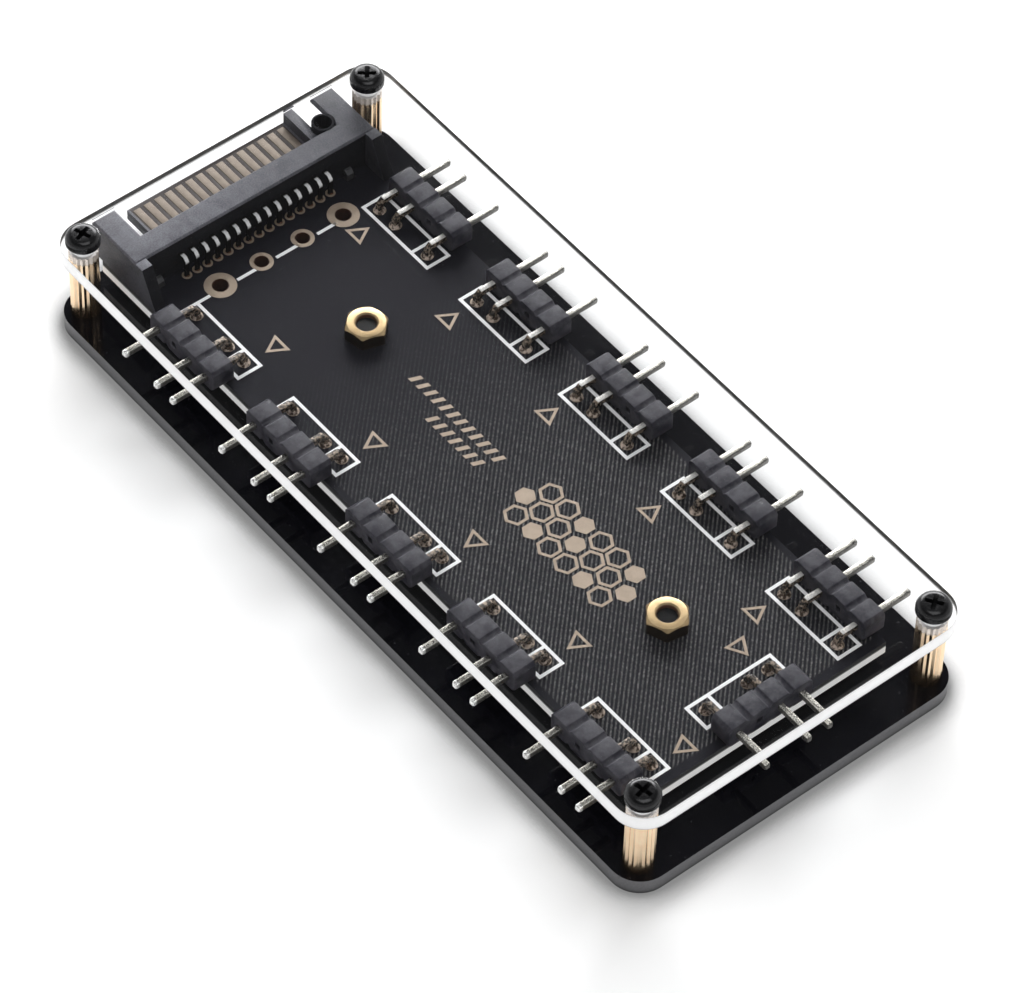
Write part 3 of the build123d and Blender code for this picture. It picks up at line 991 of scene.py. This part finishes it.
def make_pads():
    """A bare ring and a solder cone around each pin and tail."""
    rings = []
    cones = []
    dark = []
    seed = 0
    for x, y in [pad for name in HEADERS for pad in pads_of(name)]:
        seed += 1
        rings.append(ring(x, y, *PAD_RING, TOP, TOP + SKIN, 32))
        cones.append(lathe(x, y, on_board(PAD_JOINT), 24, blob(seed)))
    # The tails' joints are made dark with painted shade
    for x, y in tails():
        seed += 1
        rings.append(ring(x, y, *TAIL_RING, TOP, TOP + SKIN * 2, 24))
        dark.append(lathe(x, y, on_board(TAIL_JOINT), 16, blob(seed)))
    piece("pad_rings", *merged(rings), GOLD, "contact_gold")
    piece("shaded_tail_joints", *merged(dark), PLATING_AND_JOINT_SHADE, "contact_gold", smooth=True)
    piece("solder_joints", *merged(cones), TIN, "lock_tin", smooth=True)


# Nuts of the board


def nut_section(reach, low, high):
    """Radius and height of a nut's section, from its foot up the outside and down the bore."""
    bevel = 0.3 / (NUT_CORNER - NUT_CROWN)
    edge = high - bevel * (reach - NUT_CROWN)
    return (
        (reach, low),
        (reach, edge - 0.05),
        (reach - 0.05, edge + 0.01),
        (NUT_CROWN + 0.03, high - 0.02),
        (NUT_CROWN - 0.05, high),
        (NUT_BORE + 0.16, high),
        (NUT_BORE, high - 0.16),
        (NUT_BORE, low),
    )


def make_nuts():
    """Hexagon nuts with a turned bevel, each made of sections that follow the flats."""
    low, high = box_mm("board_nuts")
    y = (low.y + high.y) / 2
    verts = []
    faces = []
    for x, turn in zip(NUTS_X, NUT_TURNS):
        start = len(verts)
        for i in range(NUT_POINTS):
            angle = 2 * math.pi * i / NUT_POINTS
            flat = (math.degrees(angle) - turn) % 60 - 30
            reach = min(NUT_ACROSS / 2 / math.cos(math.radians(flat)), NUT_CORNER - 0.06)
            section = nut_section(reach, low.z + 0.001, high.z)
            cos, sin = math.cos(angle), math.sin(angle)
            verts += [(x + radius * cos, y + radius * sin, height) for radius, height in section]
        rows = len(section)
        for i in range(NUT_POINTS):
            here = start + rows * i
            there = start + rows * ((i + 1) % NUT_POINTS)
            for row in range(rows):
                after = (row + 1) % rows
                faces.append((here + row, there + row, there + after, here + after))
    nuts = piece("shaped_nuts", verts, faces, NUT, "nut_brass", smooth=True)
    soften(nuts, 22)
    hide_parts("board_nuts")


# Screws of the cover, with their domed heads and cross recess


def screw_profile(low, seat, crown, radius):
    """Radius and height of a pan head screw, from the foot of its thread to its crown."""
    profile = [(0, low)]
    depth = low
    while depth < seat - THREAD_PITCH:
        profile += [(THREAD_ROOT, depth), (THREAD_CREST, depth + THREAD_PITCH / 2)]
        depth += THREAD_PITCH
    profile += [(SHANK, depth), (SHANK, seat + 0.01), (radius - 0.06, seat + 0.01), (radius, seat + 0.08)]
    rise = crown - seat
    for step in range(8):
        angle = step / 7 * math.pi / 2
        edge = radius - (radius - HEAD_FLAT - 0.35) * (1 - math.cos(angle))
        profile.append((edge, seat + rise * (0.42 + 0.58 * math.sin(angle))))
    return profile + [(HEAD_FLAT, crown), (0, crown)]


def cross_arm(x, y, crown, angle):
    """A block that tapers downwards, in the shape of one bar of a cross recess."""
    cos, sin = math.cos(angle), math.sin(angle)
    verts = []
    for long, wide, z in ((1.0, 0.24, crown + 0.1), (0.5, 0.16, crown - 0.75)):
        corners = ((-long, -wide), (long, -wide), (long, wide), (-long, wide))
        verts += [(x + u * cos - v * sin, y + u * sin + v * cos, z) for u, v in corners]
    faces = [(0, 3, 2, 1), (4, 5, 6, 7), (0, 1, 5, 4), (1, 2, 6, 5), (2, 3, 7, 6), (3, 0, 4, 7)]
    return verts, faces


def cut(obj, shape):
    """Take a closed shape away from a piece."""
    cutter = piece("cutter", *shape, SCREW, "screw_black")
    step = obj.modifiers.new("cross", "BOOLEAN")
    step.operation = "DIFFERENCE"
    step.solver = "EXACT"
    step.object = cutter
    bpy.context.view_layer.update()
    shaped = obj.evaluated_get(bpy.context.evaluated_depsgraph_get())
    mesh = bpy.data.meshes.new_from_object(shaped)
    obj.modifiers.clear()
    obj.data = mesh
    bpy.data.objects.remove(cutter)


def make_cover_screws():
    """Four pan head screws with a rounded head, a tapering cross and a thread."""
    low, high = box_mm("cover_screws")
    profile = screw_profile(low.z, COVER_HIGH.z, high.z, high.x - CORNER_X)
    for corner, turn in zip(CORNERS, CROSS_TURNS):
        a, b = box_mm(f"standoff_{corner}")
        x, y = (a.x + b.x) / 2, (a.y + b.y) / 2
        head = piece(f"cover_screw_{corner}", *lathe(x, y, profile, 48), SCREW, "screw_black")
        for arm in range(2):
            cut(head, cross_arm(x, y, high.z, turn + arm * math.pi / 2))
        head.data.shade_smooth()
        soften(head, 35)
    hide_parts("cover_screws")


# Stage, light and camera


def make_stage():
    """A pale floor that stays white to the eye, with a painted contact shadow close to the hub."""
    s = Shader("pale_floor")
    path = s.node("ShaderNodeLightPath")
    seen = s.either(path.outputs["Is Camera Ray"], path.outputs["Is Glossy Ray"])
    seen = s.either(seen, path.outputs["Is Transmission Ray"])
    # Painted contact shadow, darker where the hub stands close over the floor
    near = s.node("ShaderNodeAmbientOcclusion", samples=16)
    near.inputs["Distance"].default_value = 7 * MM
    open_sky = s.ramp(near.outputs["AO"], 0.6, 0.96)
    diffuse = s.node("ShaderNodeBsdfDiffuse")
    s.put(s.mix(open_sky, rgb(0.04, 0.04, 0.04), rgb(0.94, 0.94, 0.94)), diffuse.inputs["Color"])
    glow = s.node("ShaderNodeEmission")
    s.put(WHITE, glow.inputs["Color"])
    s.put(s.times(seen, 0.24), glow.inputs["Strength"])
    both = s.node("ShaderNodeAddShader")
    s.put(diffuse.outputs[0], both.inputs[0])
    s.put(glow.outputs[0], both.inputs[1])
    level = (BASE_LOW.z - FLOOR_GAP) * MM
    corners = [(x * FLOOR_REACH, y * FLOOR_REACH, level) for x, y in ((-1, -1), (1, -1), (1, 1), (-1, 1))]
    mesh = bpy.data.meshes.new("floor")
    mesh.from_pydata(corners, [], [(0, 1, 2, 3)])
    mesh.materials.append(s.done(both.outputs[0]))
    floor = bpy.data.objects.new("floor", mesh)
    bpy.context.scene.collection.objects.link(floor)


def make_world():
    """A studio that is brighter near the horizon than overhead, and brighter behind the hub."""
    s = Shader("studio", "worlds", "ShaderNodeOutputWorld")
    toward = s.node("ShaderNodeTexCoord").outputs["Generated"]
    split = s.node("ShaderNodeSeparateXYZ")
    s.put(toward, split.inputs[0])
    height = s.ramp(split.outputs["Z"], 0.3, 0.72, 1.0, 0.05)
    rear = s.node("ShaderNodeVectorMath", operation="DOT_PRODUCT")
    s.put(toward, rear.inputs[0])
    s.put((-0.75, 0.66, 0.0), rear.inputs[1])
    side = s.ramp(rear.outputs["Value"], -0.7, 0.5, 0.6, 1.15)
    shade = s.node("ShaderNodeBackground")
    s.put(WHITE, shade.inputs["Color"])
    s.put(s.times(height, side), shade.inputs["Strength"])
    bpy.context.scene.world = s.done(shade.outputs[0])


def make_light(name, place, width, height, power):
    """A soft panel that faces the middle of the hub."""
    data = bpy.data.lights.new(name, "AREA")
    data.shape = "RECTANGLE"
    data.size = width
    data.size_y = height
    data.energy = power
    lamp = bpy.data.objects.new(name, data)
    lamp.location = place
    lamp.rotation_euler = (-Vector(place)).to_track_quat("-Z", "Y").to_euler()
    bpy.context.scene.collection.objects.link(lamp)


def make_camera():
    """The camera at the photograph's viewing angle."""
    data = bpy.data.cameras.new("camera")
    data.sensor_fit = "HORIZONTAL"
    data.sensor_width = SENSOR
    data.lens = FOCAL_PIXELS / IMAGE_WIDTH * SENSOR
    data.clip_start = 0.01
    data.clip_end = 20.0
    camera = bpy.data.objects.new("camera", data)
    right = Vector(CAMERA_RIGHT)
    up = -Vector(CAMERA_DOWN)
    back = -Vector(CAMERA_FORWARD)
    turn = Matrix((right, up, back)).transposed().to_4x4()
    camera.matrix_world = Matrix.Translation(Vector(CAMERA_PLACE)) @ turn
    bpy.context.scene.collection.objects.link(camera)
    bpy.context.scene.camera = camera


dress_nodes()
round_edges()
make_silk_print()
make_triangles()
make_comb_mark()
make_stripe_mark()
make_spare_rings()
make_pads()
make_nuts()
make_cover_screws()
make_stage()
make_world()
make_light("overhead_panel", (0.12, -0.02, 0.55), width=0.35, height=0.35, power=0.9)
make_light("back_panel", (-0.4, 0.34, 0.3), width=0.5, height=0.24, power=4.5)
make_camera()
bpy.context.scene.view_settings.view_transform = "Standard"
